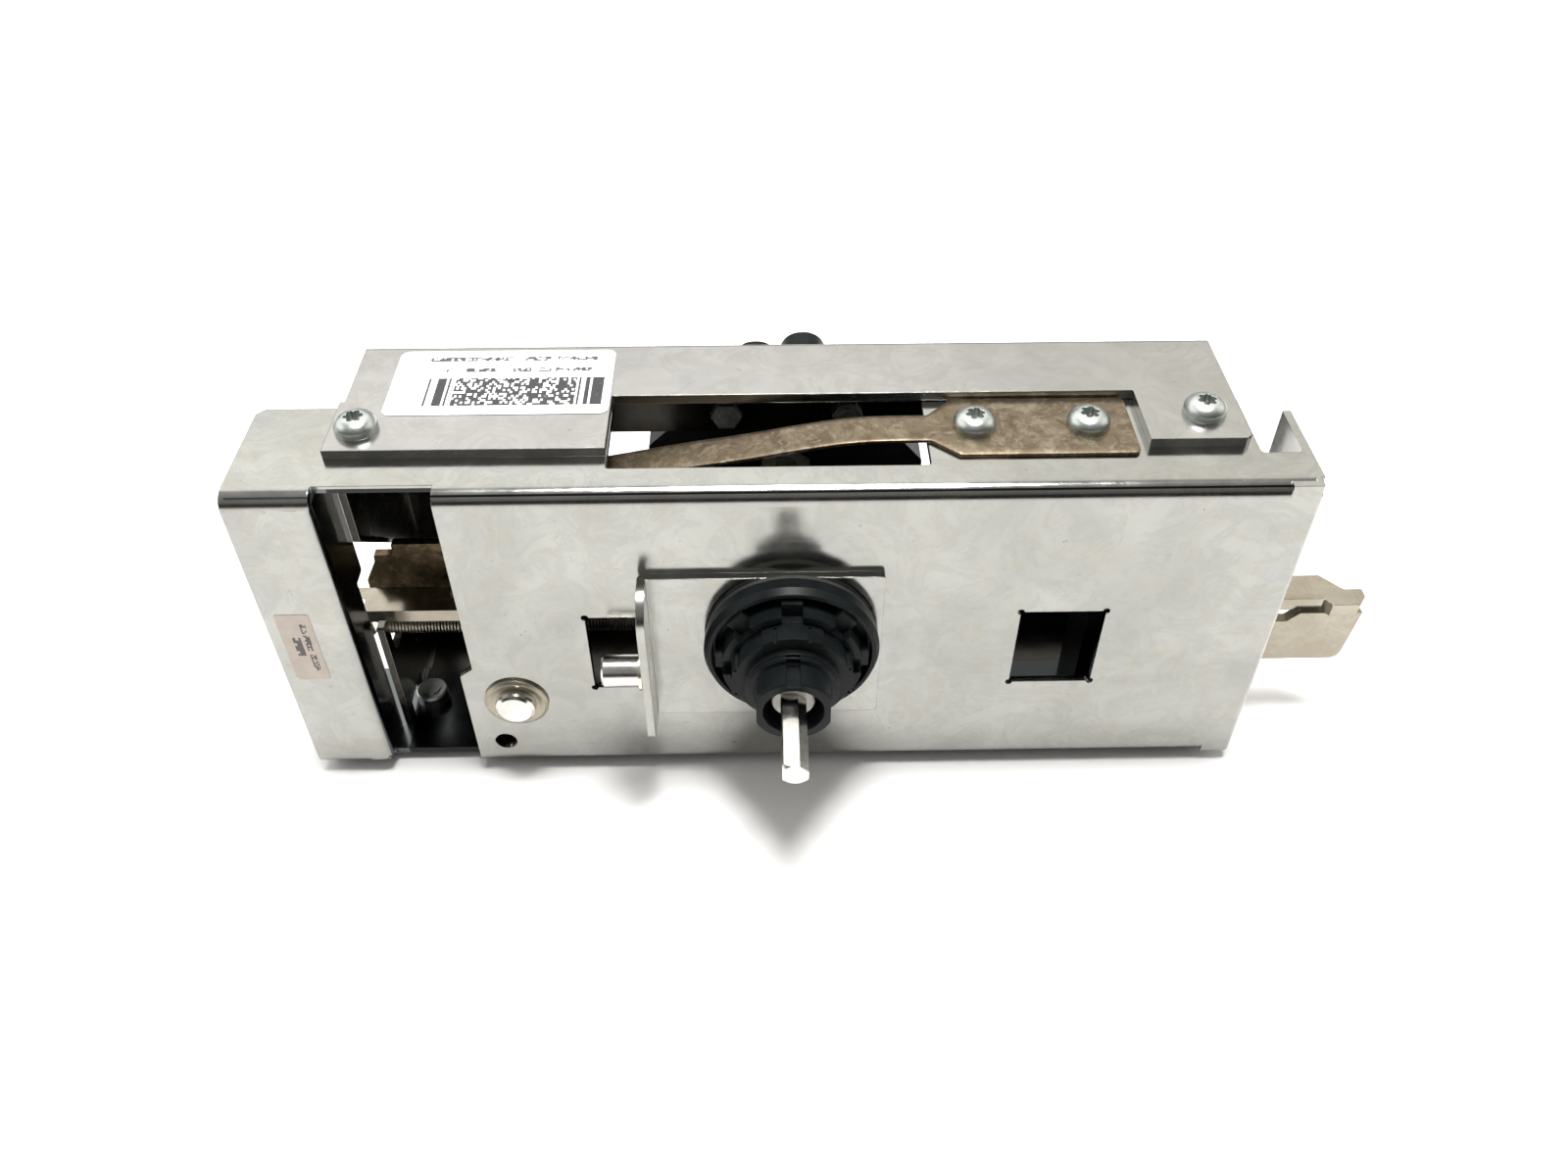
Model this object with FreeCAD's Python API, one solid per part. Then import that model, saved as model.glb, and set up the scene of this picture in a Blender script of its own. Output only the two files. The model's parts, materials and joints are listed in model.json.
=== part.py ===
import FreeCAD, Part
import math
import os
from FreeCAD import Vector as V

# Front lock of a control-cabinet main switch: a folded sheet housing and a rear
# chassis carry a 6 mm square handle shaft, which turns the switch behind and,
# through a crank and a yoke, slides the latch bar in and out of the right side.
# All sizes in millimetres.  X runs to the right, Y to the back, Z up.
# Working coordinates: X0 = left edge of the housing, Y0 = front face of the
# housing, ZB = underside of the housing.  Everything is shifted at the end so
# that the origin is the middle of the base.

os.makedirs("parts", exist_ok=True)

# ---------------------------------------------------------------- dimensions
L = 250.0            # housing length
H = 92.4             # top face of the housing
ZB = -2.3            # underside of the housing
T = 2.0              # sheet thickness of the housing
TC = 2.5             # sheet thickness of the chassis
D_TOP = 34.2         # depth of the housing's top and bottom flanges
R_OUT = 4.0          # outside bend radius
R_IN = 2.0           # inside bend radius
WIN_X0 = 20.0        # window: left edge
WIN_X1 = 47.5        # window: right edge, upper part
WIN_X1B = 44.0       # window: right edge, lower part
CUT_Z0, CUT_Z1 = 28.2, 53.6          # two square cut-outs in the front
CUT1_X0, CUT1_X1 = 78.0, 99.0
CUT2_X0, CUT2_X1 = 185.2, 206.3
SLOT_X0, SLOT_X1, SLOT_Y0 = 86.0, 161.0, 9.5   # slot in the top flange
AX, AZ = 128.6, 48.0                 # handle axis
COUPLING_HOLE_R = 11.15
PIN_X, PIN_Z, PIN_R = 57.1, 23.5, 3.0          # lever pivot
TIE_X, TIE_Z, TIE_R = 51.9, 7.2, 2.9           # plain hole beside the pivot
SCREWS_CHASSIS = ((27.0, 22.6), (227.5, 25.4))
SCREWS_SPRING = ((172.4, 23.1), (199.5, 23.1))
CH_X0, CH_X1 = 20.6, 236.5           # chassis ends
CH_Y0, CH_Y1 = 14.0, 57.5            # chassis front edge and rear face
NOTCH_X0, NOTCH_X1, NOTCH_Y = 86.0, 212.5, 34.6
SPRING_T = 0.9                       # leaf spring thickness
NUT_T = 4.0                          # clinch nuts under the top flange
BAR_Y0, BAR_Y1 = 20.0, 29.2          # latch bar
BAR_Z0, BAR_Z1 = 33.2, 37.2
BAR_X0 = 9.8
TRAVEL = 19.8                        # latch travel for a quarter turn
CRANK_R = 14.0                       # crank pin radius
SHAFT_A = 6.0                        # square shaft, across flats
SHAFT_Y0, SHAFT_Y1 = -44.8, 74.0
BRKT_X0, BRKT_X1, BRKT_Z0, BRKT_Z1 = 92.0, 151.0, 20.0, 68.0
SW_X, SW_Z0, SW_Z1 = 38.0, 21.5, 71.0          # switch body
SW_Y0, SW_Y1 = 60.5, 92.0
REAR_Y = 104.0                       # rear of the terminal covers
TIP_X = 283.0                        # right end of the latch

# origin: middle of the overall box, on the base
OX = (0.0 + TIP_X) / 2.0
OY = (SHAFT_Y0 + REAR_Y) / 2.0
OZ = ZB - TC


# ------------------------------------------------------------------- helpers
def box(x0, x1, y0, y1, z0, z1):
    return Part.makeBox(x1 - x0, y1 - y0, z1 - z0, V(x0, y0, z0))


def cyl_y(r, y0, y1, x=AX, z=AZ):
    return Part.makeCylinder(r, y1 - y0, V(x, y0, z), V(0, 1, 0))


def cyl_z(r, z0, z1, x, y):
    return Part.makeCylinder(r, z1 - z0, V(x, y, z0), V(0, 0, 1))


def cyl_x(r, x0, x1, y, z):
    return Part.makeCylinder(r, x1 - x0, V(x0, y, z), V(1, 0, 0))


def cone_y(r0, r1, y0, y1, x=AX, z=AZ):
    return Part.makeCone(r0, r1, y1 - y0, V(x, y0, z), V(0, 1, 0))


def face_of(points):
    wire = Part.makePolygon([V(*p) for p in points] + [V(*points[0])])
    return Part.Face(wire)


def prism_xz(pts, y0, y1):
    return face_of([(x, y0, z) for x, z in pts]).extrude(V(0, y1 - y0, 0))


def prism_xy(pts, z0, z1):
    return face_of([(x, y, z0) for x, y in pts]).extrude(V(0, 0, z1 - z0))


def prism_yz(pts, x0, x1):
    return face_of([(x0, y, z) for y, z in pts]).extrude(V(x1 - x0, 0, 0))


def rounded_path(pts, radii, closed=True):
    """Edges of a polygon with rounded corners; pts are vectors."""
    n = len(pts)
    edges = []
    starts, ends, arcs = [], [], []
    for i in range(n):
        p0, p1, p2 = pts[i - 1], pts[i], pts[(i + 1) % n]
        r = radii[i]
        if r <= 0:
            starts.append(p1)
            ends.append(p1)
            arcs.append(None)
            continue
        a = (p0 - p1).normalize()
        b = (p2 - p1).normalize()
        ang = a.getAngle(b)
        d = r / math.tan(ang / 2.0)
        s = p1 + a * d
        e = p1 + b * d
        bis = (a + b).normalize()
        c = p1 + bis * (r / math.sin(ang / 2.0))
        m = c - bis * r
        starts.append(s)
        ends.append(e)
        arcs.append(Part.Arc(s, m, e).toShape())
    for i in range(n):
        if arcs[i] is not None:
            edges.append(arcs[i])
        j = (i + 1) % n
        if (ends[i] - starts[j]).Length > 1e-6:
            edges.append(Part.LineSegment(ends[i], starts[j]).toShape())
    return Part.Wire(Part.__sortEdges__(edges))


def rprism(pts3, radii, vec):
    return Part.Face(rounded_path([V(*p) for p in pts3], radii)).extrude(V(*vec))


def rprism_xz(pts, radii, y0, y1):
    return rprism([(x, y0, z) for x, z in pts], radii, (0, y1 - y0, 0))


def rprism_xy(pts, radii, z0, z1):
    return rprism([(x, y, z0) for x, y in pts], radii, (0, 0, z1 - z0))


def rprism_yz(pts, radii, x0, x1):
    return rprism([(x0, y, z) for y, z in pts], radii, (x1 - x0, 0, 0))


def rect(x0, x1, z0, z1):
    return [(x0, z0), (x1, z0), (x1, z1), (x0, z1)]


def fuse(*shapes):
    s = shapes[0]
    for t in shapes[1:]:
        s = s.fuse(t)
    return s.removeSplitter()


def revolve_y(profile, x=AX, z=AZ):
    """profile: (radius, y) points; turned about the Y line through x, z."""
    f = face_of([(x + r, y, z) for r, y in profile])
    return f.revolve(V(x, 0, z), V(0, 1, 0), 360)


def rot_y(shape, deg, x=AX, z=AZ):
    s = shape.copy()
    s.rotate(V(x, 0, z), V(0, 1, 0), deg)
    return s


def chamfer(shape, size, test):
    edges = [e for e in shape.Edges if test(e)]
    return shape.makeChamfer(size, edges) if edges else shape


def fillet(shape, size, test):
    edges = [e for e in shape.Edges if test(e)]
    return shape.makeFillet(size, edges) if edges else shape


def mid(e):
    return e.valueAt((e.FirstParameter + e.LastParameter) / 2.0)


SHIFT = V(-OX, -OY, -OZ)
VOLUMES = {}


def save(name, shape):
    s = shape.copy()
    s.translate(SHIFT)
    solids = s.Solids
    if not solids:
        raise RuntimeError(name + " has no solid")
    out = solids[0] if len(solids) == 1 else Part.makeCompound(solids)
    if not out.isValid():
        raise RuntimeError(name + " is not valid")
    out.exportStep("parts/" + name + ".step")
    VOLUMES[name] = round(sum(q.Volume for q in solids), 1)


# ------------------------------------------------------------- front housing
# C section folded from 2 mm sheet, open at the back.
outer = [(0.0, ZB), (D_TOP, ZB), (D_TOP, ZB + T), (T, ZB + T), (T, H - T), (D_TOP, H - T), (D_TOP, H), (0.0, H)]
housing = rprism_yz(outer, [R_OUT, 0, 0, R_IN, R_IN, 0, 0, R_OUT], 0.0, L)
# window at the left, cut through both bends
housing = housing.cut(prism_xz(
    [(WIN_X0, ZB - 1), (WIN_X1B, ZB - 1), (WIN_X1B, 33.0), (WIN_X1, 35.6), (WIN_X1, H + 1), (WIN_X0, H + 1)],
    -1.0, R_OUT + 0.2))
# flange folded back along the window's left edge
strip = rprism_xy([(WIN_X0 - 6, 0), (WIN_X0, 0), (WIN_X0, 12.6), (WIN_X0 - T, 12.6), (WIN_X0 - T, T), (WIN_X0 - 6, T)],
                  [0, 3.0, 0, 0, 1.0, 0], ZB + 2.4, H - 3.6)
housing = housing.cut(box(WIN_X0 - 6, WIN_X0 + 0.5, -1, T, ZB + 2.4, H - 3.6)).fuse(strip)
# the upper part of that flange is deeper
deep = rprism_yz([(12.0, 54.4), (17.6, 54.4), (17.6, H - 3.6), (12.0, H - 3.6)], [0, 0.8, 0.8, 0], WIN_X0 - T, WIN_X0)
housing = housing.fuse(deep)
housing = housing.cut(prism_xz([(WIN_X0 - 3.0, ZB - 1), (WIN_X0 + 1, ZB - 1), (WIN_X0 + 1, ZB + 4.5)], -1, 3.6))
# right end wall
wall = rprism_xy([(L - 8, 0), (L, 0), (L, 28.9), (L - T, 28.9), (L - T, T), (L - 8, T)],
                 [0, 1.8, 0, 0, 0, 0], ZB + 1.0, H)
corner_trim = box(L - 2.5, L + 1, -1, 1.6, ZB - 1, H + 1)
housing = housing.cut(corner_trim)
housing = housing.fuse(wall.common(box(L - 8, L + 1, -1, 40, ZB + 1.0, H)))
# relief between the top flange and the end wall, and the same below
housing = housing.cut(rprism_xy([(238.2, 12.6), (L - T, 12.6), (L - T, 40), (238.2, 40)], [1.2, 1.2, 0, 0], H - 6, H + 1))
housing = housing.cut(box(L - T - 0.01, L + 1, 28.9, 40, ZB - 1, H + 1))
housing = housing.cut(box(L - T - 0.6, L + 1, 1.9, 40, ZB - 1, ZB + 1.0))
# the bend ends flush with the wall at the top corner
housing = housing.cut(box(L - 0.01 - 0.9, L + 1, -1, 3.2, H - 3.4, H + 1))
# square cut-outs, with small corner reliefs
for x0, x1 in ((CUT1_X0, CUT1_X1), (CUT2_X0, CUT2_X1)):
    housing = housing.cut(box(x0, x1, -1, T + 1, CUT_Z0, CUT_Z1))
    for cx in (x0, x1):
        for cz in (CUT_Z0, CUT_Z1):
            housing = housing.cut(cyl_y(0.9, -1, T + 1, cx, cz))
housing = housing.cut(cyl_y(COUPLING_HOLE_R, -1, T + 1))
housing = housing.cut(cyl_y(PIN_R, -1, T + 1, PIN_X, PIN_Z))
housing = housing.cut(cyl_y(TIE_R, -1, T + 1, TIE_X, TIE_Z))
# open slot in the top flange
housing = housing.cut(rprism_xy([(SLOT_X0, SLOT_Y0), (SLOT_X1, SLOT_Y0), (SLOT_X1, 40), (SLOT_X0, 40)],
                                [0.8, 0.8, 0, 0], H - 6, H + 1))
for x, y in SCREWS_CHASSIS + SCREWS_SPRING:
    housing = housing.cut(cyl_z(2.5, H - 6, H + 1, x, y))
GUIDE_L, GUIDE_R = (62.0, 72.0), (208.0, 217.0)
GUIDE_SCREWS = ((67.0, 24.0), (212.5, 24.0))
BASE_SCREWS = GUIDE_SCREWS + SCREWS_CHASSIS
for x, y in BASE_SCREWS:
    housing = housing.cut(cyl_z(2.5, ZB - 1, ZB + T + 1, x, y))
# rear corners of the flanges are clipped
housing = housing.cut(prism_xy([(-1, D_TOP - 3), (-1, D_TOP + 1), (3, D_TOP + 1)], ZB - 1, H + 1))
# passage for the latch in the end wall, open to the back
housing = housing.cut(box(L - T - 1, L + 1, 18.0, 40, 14.8, 37.6))
# anchor hole of the extension spring's post in the bottom flange
ANCHOR_X, SPR_Y, SPR_Z, SPR_R = 112.0, 23.6, 29.6, 3.1
housing = housing.cut(cyl_z(2.0, ZB - 1, ZB + T + 1, ANCHOR_X, SPR_Y))
housing = housing.removeSplitter()
save("front_housing", housing)

# -------------------------------------------------------------- rear chassis
top = prism_xy([(CH_X0, CH_Y0), (85.8, CH_Y0), (85.8, NOTCH_Y), (NOTCH_X1, NOTCH_Y), (NOTCH_X1, CH_Y0 + 1),
                (CH_X1 - 1.5, CH_Y0 + 1), (CH_X1, CH_Y0 + 2.5), (CH_X1, CH_Y1), (CH_X0 + 1.2, CH_Y1),
                (CH_X0 + 1.2, 33.4), (CH_X0, 33.0)], H, H + TC)
bottom = prism_xy([(CH_X0, CH_Y0), (CH_X1, CH_Y0), (CH_X1, CH_Y1), (CH_X0 + 1.2, CH_Y1), (CH_X0 + 1.2, 33.4),
                   (CH_X0, 33.0)], ZB - TC, ZB)
WALL_X0, WALL_X1 = 20.8, 22.7        # left end walls
rear = box(CH_X0 + 1.2, CH_X1, CH_Y1 - TC, CH_Y1, ZB - TC, H + TC)
rear = rear.cut(rprism_xz([(24.6, 14.0), (231.0, 14.0), (231.0, 69.0), (78.5, 69.0), (78.5, 31.0), (24.6, 31.0)],
                          [2, 2, 2, 2, 2, 2], CH_Y1 - 4, CH_Y1 + 1))
# left end: an upper wall with a slanting lower edge, and a low wall
left_up = rprism_yz([(15.8, 65.4), (CH_Y1, 28.0), (CH_Y1, H + TC), (15.8, H + TC)],
                    [1.0, 0, 0, 0], WALL_X0, WALL_X1)
left_up = left_up.cut(box(0, CH_X0 + 1.2, 33.4, 60, H - 0.5, H + 5))
left_lo = rprism_yz([(13.2, ZB - TC), (CH_Y1, ZB - TC), (CH_Y1, 25.0), (18.4, 25.0), (16.8, 27.0), (16.8, 37.4), (13.2, 37.4)],
                    [0, 0, 0, 0, 0, 0.6, 0.6], WALL_X0, WALL_X1)
left_up = left_up.cut(box(0, 60, 0, D_TOP + 0.25, H - T - 0.25, H))
left_lo = left_lo.cut(box(0, 60, 0, D_TOP + 0.25, ZB, ZB + T + 0.25))
# fold reliefs round the nuts of the left screws
left_up = left_up.cut(box(0, 60, 0, 28.0, H - T - NUT_T - 3.0, H))
left_lo = left_lo.cut(box(0, 60, 17.0, 28.2, ZB, ZB + T + NUT_T + 0.6))
chassis = fuse(top, bottom, rear, left_up, left_lo)
# rounded rear folds
chassis = fillet(chassis, 1.6, lambda e: abs(mid(e).y - CH_Y1) < 1e-6 and e.Length > 100
                 and (abs(mid(e).z - (H + TC)) < 1e-6 or abs(mid(e).z - (ZB - TC)) < 1e-6))
for x, y in SCREWS_CHASSIS:
    chassis = chassis.cut(cyl_z(2.7, H - 1, H + TC + 1, x, y))
for x, y in BASE_SCREWS:
    chassis = chassis.cut(Part.makeCone(4.6, 2.5, 2.1, V(x, y, ZB - TC), V(0, 0, 1)))
    chassis = chassis.cut(cyl_z(2.5, ZB - TC, ZB + 1, x, y))
SW_SCREWS = [(AX - 16.0, 75.0), (AX + 16.0, 75.0), (AX - 16.0, 8.0), (AX + 16.0, 8.0)]
for x, z in SW_SCREWS:
    chassis = chassis.cut(cyl_y(2.0, CH_Y1 - 4, CH_Y1 + 1, x, z))
save("rear_chassis", chassis)


# ------------------------------------------------------------------- screws
def torx_cut(x, y, z_top, depth, r=2.3):
    """Six-lobed recess, cut down from z_top."""
    s = cyl_z(r * 0.72, z_top - depth, z_top + 1, x, y)
    for k in range(6):
        a = math.radians(60 * k + 12)
        s = s.fuse(cyl_z(r * 0.30, z_top - depth, z_top + 1, x + r * 0.70 * math.cos(a), y + r * 0.70 * math.sin(a)))
    return s


def pan_screw(x, y, z_seat, z_end):
    k, r = 3.7, 5.1
    pts = [V(0, 0, 0), V(r, 0, 0), V(r, 0, 1.3)]
    prof = [Part.LineSegment(pts[0], pts[1]).toShape(), Part.LineSegment(pts[1], pts[2]).toShape(),
            Part.Arc(pts[2], V(r * 0.84, 0, 2.75), V(r * 0.52, 0, k - 0.12)).toShape(),
            Part.Arc(V(r * 0.52, 0, k - 0.12), V(r * 0.28, 0, k - 0.03), V(0, 0, k)).toShape(),
            Part.LineSegment(V(0, 0, k), V(0, 0, 0)).toShape()]
    head = Part.Face(Part.Wire(prof)).revolve(V(0, 0, 0), V(0, 0, 1), 360)
    head.translate(V(x, y, z_seat))
    s = head.fuse(cyl_z(2.5, z_end, z_seat + 0.5, x, y)).removeSplitter()
    s = s.cut(torx_cut(x, y, z_seat + k, 2.3))
    return s


screws = [pan_screw(x, y, H + TC, H - T - NUT_T - 2.0) for x, y in SCREWS_CHASSIS]
save("chassis_screws", Part.makeCompound(screws))
screws = [pan_screw(x, y, H + SPRING_T, H - T - NUT_T - 2.0) for x, y in SCREWS_SPRING]
save("leaf_spring_screws", Part.makeCompound(screws))


def hex_z(af, z0, z1, x, y):
    r = af / math.sqrt(3)
    return prism_xy([(x + r * math.cos(math.radians(60 * i + 30)), y + r * math.sin(math.radians(60 * i + 30)))
                     for i in range(6)], z0, z1)


nuts = []
for x, y in SCREWS_CHASSIS + SCREWS_SPRING:
    n = hex_z(8.0, H - T - NUT_T, H - T, x, y).cut(cyl_z(2.5, H - 10, H + 1, x, y))
    nuts.append(n)
for x, y in SCREWS_CHASSIS:
    n = cyl_z(4.4, ZB + T, ZB + T + NUT_T, x, y)
    n = chamfer(n, 0.5, lambda e: abs(mid(e).z - (ZB + T + NUT_T)) < 1e-6)
    nuts.append(n.cut(cyl_z(2.5, ZB, ZB + 10, x, y)))
save("clinch_nuts", Part.makeCompound(nuts))

# ----------------------------------------------------------------- leaf spring
LEAF_Y0, LEAF_Y1 = 17.6, 27.6
plate = prism_xy([(168.0, 12.0), (210.0, 12.0), (210.0, 34.0), (168.0, 34.0), (161.6, LEAF_Y1), (161.6, LEAF_Y0)],
                 H, H + SPRING_T)
drops = [(161.6, 0.0), (150.0, 0.05), (141.0, 0.7), (129.0, 2.7), (119.0, 4.7), (104.0, 7.2), (88.0, 10.3),
         (70.0, 13.8), (50.0, 17.8)]
pts_u = [V(x, LEAF_Y0, H + SPRING_T - d) for x, d in drops]
up = Part.BSplineCurve()
up.interpolate(pts_u)
pts_l = []
for i, p in enumerate(pts_u):
    tan = up.tangent(up.parameter(p))[0]
    if tan.x > 0:
        tan = tan * -1
    nrm = V(tan.z, 0, -tan.x)
    if nrm.z > 0:
        nrm = nrm * -1
    pts_l.append(p + nrm * SPRING_T)
pts_l[0] = V(161.6, LEAF_Y0, H)
lo = Part.BSplineCurve()
lo.interpolate(pts_l)
wire = Part.Wire([up.toShape(), Part.LineSegment(pts_u[-1], pts_l[-1]).toShape(), lo.toShape(),
                  Part.LineSegment(pts_l[0], pts_u[0]).toShape()])
arm = Part.Face(wire).extrude(V(0, LEAF_Y1 - LEAF_Y0, 0))
leaf = plate.fuse(arm).removeSplitter()
for x, y in SCREWS_SPRING:
    leaf = leaf.cut(cyl_z(2.7, H - 1, H + 3, x, y))
save("leaf_spring", leaf)

# -------------------------------------------------------------- corner bracket
brk = rprism_xz(rect(BRKT_X0, BRKT_X1, BRKT_Z0, BRKT_Z1), [0, 1.5, 1.0, 0], -T, 0.0)
flange = rprism_yz([(0.0, BRKT_Z0), (-12.5, BRKT_Z0 + 1.5), (-12.5, BRKT_Z1), (0.0, BRKT_Z1)], [0, 3.0, 9.0, 0],
                   BRKT_X0, BRKT_X0 + T)
brk = fuse(brk, flange)
brk = fillet(brk, 1.6, lambda e: abs(mid(e).x - BRKT_X0) < 1e-6 and abs(mid(e).y) < 1e-6 and e.Length > 40)
brk = brk.cut(cyl_y(COUPLING_HOLE_R, -T - 1, 1))
STAND_Y, STAND_Z = -8.0, 43.2
brk = brk.cut(cyl_x(2.75, BRKT_X0 - 1, BRKT_X0 + T + 1, STAND_Y, STAND_Z))
save("corner_bracket", brk)
# clinched spacer on the bracket's flange, with its thin collar
stand = cyl_x(4.0, 82.0, BRKT_X0 - 0.8, STAND_Y, STAND_Z)
stand = chamfer(stand, 0.6, lambda e: abs(mid(e).x - 82.0) < 1e-6)
stand = stand.fuse(cyl_x(2.75, BRKT_X0 - 0.8, BRKT_X0 + T, STAND_Y, STAND_Z)).removeSplitter()
stand = stand.cut(cyl_x(1.7, 81.0, 90.0, STAND_Y, STAND_Z))
save("bracket_spacer", stand)
collar = cyl_x(4.9, BRKT_X0 - 0.8, BRKT_X0, STAND_Y, STAND_Z).cut(cyl_x(2.75, 90, 93, STAND_Y, STAND_Z))
save("spacer_collar", collar)

# -------------------------------------------------------- rotary coupling, fixed
G0, G1 = -3.5, -T                    # gasket
gasket = cyl_y(21.0, G0, G1).cut(cyl_y(11.1, G0 - 1, G1 + 1))
save("coupling_gasket", gasket)
RING_F, RING_B = -8.4, G0
ring = revolve_y([(11.1, RING_B), (21.4, RING_B), (21.5, -6.6), (20.6, RING_F), (19.6, RING_F), (19.3, -5.2), (17.0, -5.2),
                  (17.0, -12.0), (15.2, -12.0), (15.0, -11.4), (13.9, -11.4), (11.1, -11.4)])
for k in range(8):
    rib = rot_y(box(AX - 2.5, AX + 2.5, -9.4, -5.2, AZ + 15.5, AZ + 19.35 if k % 2 else AZ + 18.6), 45 * k)
    ring = ring.fuse(rib)
for k in range(8):
    ring = ring.cut(rot_y(box(AX - 2.5, AX + 2.5, -13.0, -9.4, AZ + 14.6, AZ + 18.0), 45 * k))
ring = ring.removeSplitter()
save("coupling_ring_nut", ring)
# body: driving tier, M22 neck and flatted nose, with a tail through the panel
NOSE_F = -26.4
body = revolve_y([(5.1, 5.0), (5.1, -19.0), (7.25, -19.0), (7.25, NOSE_F), (9.4, NOSE_F), (9.8, NOSE_F + 0.5),
                  (9.8, -20.2), (11.0, -20.0), (11.0, -16.8), (13.5, -16.8), (13.8, -16.4), (13.8, -11.4), (11.0, -11.4),
                  (11.0, 5.0)])
for k in range(4):
    w = 7.3 if k % 2 == 0 else 5.0
    pad = rot_y(box(AX - w, AX + w, -16.8, -11.4, AZ + 12.0, AZ + 16.0), 90 * k)
    body = body.fuse(pad.common(cyl_y(14.6, -16.8, -11.4)))
for k in range(4):
    for s in (-1, 1):
        body = body.cut(rot_y(box(AX + s * 4.1 - 0.35, AX + s * 4.1 + 0.35, -17.2, -12.4, AZ + 13.3, AZ + 16.0), 90 * k))
# flats of the nose and its key groove
body = body.cut(box(AX + 8.7, AX + 20, NOSE_F - 1, -20.4, AZ - 20, AZ + 20))
body = body.cut(box(AX - 20, AX - 8.7, NOSE_F - 1, -20.4, AZ - 20, AZ + 20))
body = body.cut(box(AX - 1.65, AX + 1.65, NOSE_F - 1, -18.0, AZ + 8.4, AZ + 12.0))
body = body.removeSplitter()
save("coupling_body", body)
# lock nut behind the panel
r = 27.0 / math.sqrt(3)
locknut = prism_xz([(AX + r * math.cos(math.radians(60 * i)), AZ + r * math.sin(math.radians(60 * i))) for i in range(6)],
                   T, 4.8).cut(cyl_y(11.0, 0, 8))
locknut = locknut.common(cone_y(15.6, 14.2, T, 4.8))
save("coupling_lock_nut", locknut)

# ----------------------------------------------------- shaft and what it carries
h = SHAFT_A / 2.0
c0, c1 = 0.35, 2.0
sq = [(AX - h + c0, AZ - h), (AX + h - c0, AZ - h), (AX + h, AZ - h + c0), (AX + h, AZ + h - c1), (AX + h - c1, AZ + h),
      (AX - h + c0, AZ + h), (AX - h, AZ + h - c0), (AX - h, AZ - h + c0)]
shaft = prism_xz(sq, SHAFT_Y0, SHAFT_Y1)
shaft = shaft.common(cone_y(3.05, 4.6, SHAFT_Y0, SHAFT_Y0 + 1.3).fuse(cyl_y(4.6, SHAFT_Y0 + 1.3, SHAFT_Y1)))
save("handle_shaft", shaft)


def bored(shape, y0, y1):
    """Opens a solid for the square shaft."""
    return shape.cut(prism_xz(sq, y0, y1))


sleeve = bored(cyl_y(5.04, -23.4, 5.6), -30, 10)
sleeve = chamfer(sleeve, 0.3, lambda e: abs(mid(e).y + 23.4) < 1e-6 and isinstance(e.Curve, Part.Circle))
save("shaft_sleeve", sleeve)
# crank: boss on the shaft, arm down to the crank pin
ang = math.radians(45.0)
PX, PZ = AX + CRANK_R * math.sin(ang), AZ - CRANK_R * math.cos(ang)
HUB_Y0, HUB_Y1 = 33.0, 37.5
boss_r, eye_r = 9.5, 4.6
arm_half = 5.0
ux, uz = math.sin(ang), -math.cos(ang)
vx, vz = -uz, ux
web = prism_xz([(AX + vx * boss_r * 0.92, AZ + vz * boss_r * 0.92), (PX + vx * eye_r * 0.95, PZ + vz * eye_r * 0.95),
                (PX - vx * eye_r * 0.95, PZ - vz * eye_r * 0.95), (AX - vx * boss_r * 0.92, AZ - vz * boss_r * 0.92)],
               HUB_Y0, HUB_Y1)
crank = fuse(cyl_y(boss_r, HUB_Y0, HUB_Y1), cyl_y(eye_r, HUB_Y0, HUB_Y1, PX, PZ), web, cyl_y(8.0, HUB_Y1, 46.0))
crank = bored(crank, 30, 50)
crank = crank.cut(cyl_y(2.0, 30, 40, PX, PZ))
crank = crank.cut(cyl_z(1.7, AZ + 3.0, AZ + 12, AX, 42.0))
save("shaft_crank", crank)
save("crank_pin", cyl_y(2.0, 29.7, HUB_Y1, PX, PZ))
grub = cyl_z(1.7, AZ + 3.0, AZ + 7.2, AX - 0.0, 42.0)
r = 1.0
grub = grub.cut(prism_xy([(AX + r * math.cos(math.radians(60 * i)), 42.0 + r * math.sin(math.radians(60 * i)))
                          for i in range(6)], AZ + 5.6, AZ + 8))
save("crank_grub_screw", grub)
rotor = bored(cyl_y(7.0, 66.5, 76.0), 60, 90)
save("switch_rotor", rotor)

# -------------------------------------------------------------------- latch
plan = [(BAR_X0, BAR_Y0), (271.6, BAR_Y0), (273.4, BAR_Y0 - 2.5), (280.6, BAR_Y0 - 2.5), (TIP_X, BAR_Y0 + 0.6),
        (TIP_X, 23.6), (278.2, 23.6), (273.2, BAR_Y1), (BAR_X0, BAR_Y1)]
bar = rprism_xy(plan, [2.6, 0.5, 0.3, 0, 0, 0.3, 0.8, 0.4, 3.0], BAR_Z0, BAR_Z1)
CATCH_X0, CATCH_X1 = 38.5, 47.5      # lever's catch, over the bar
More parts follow.
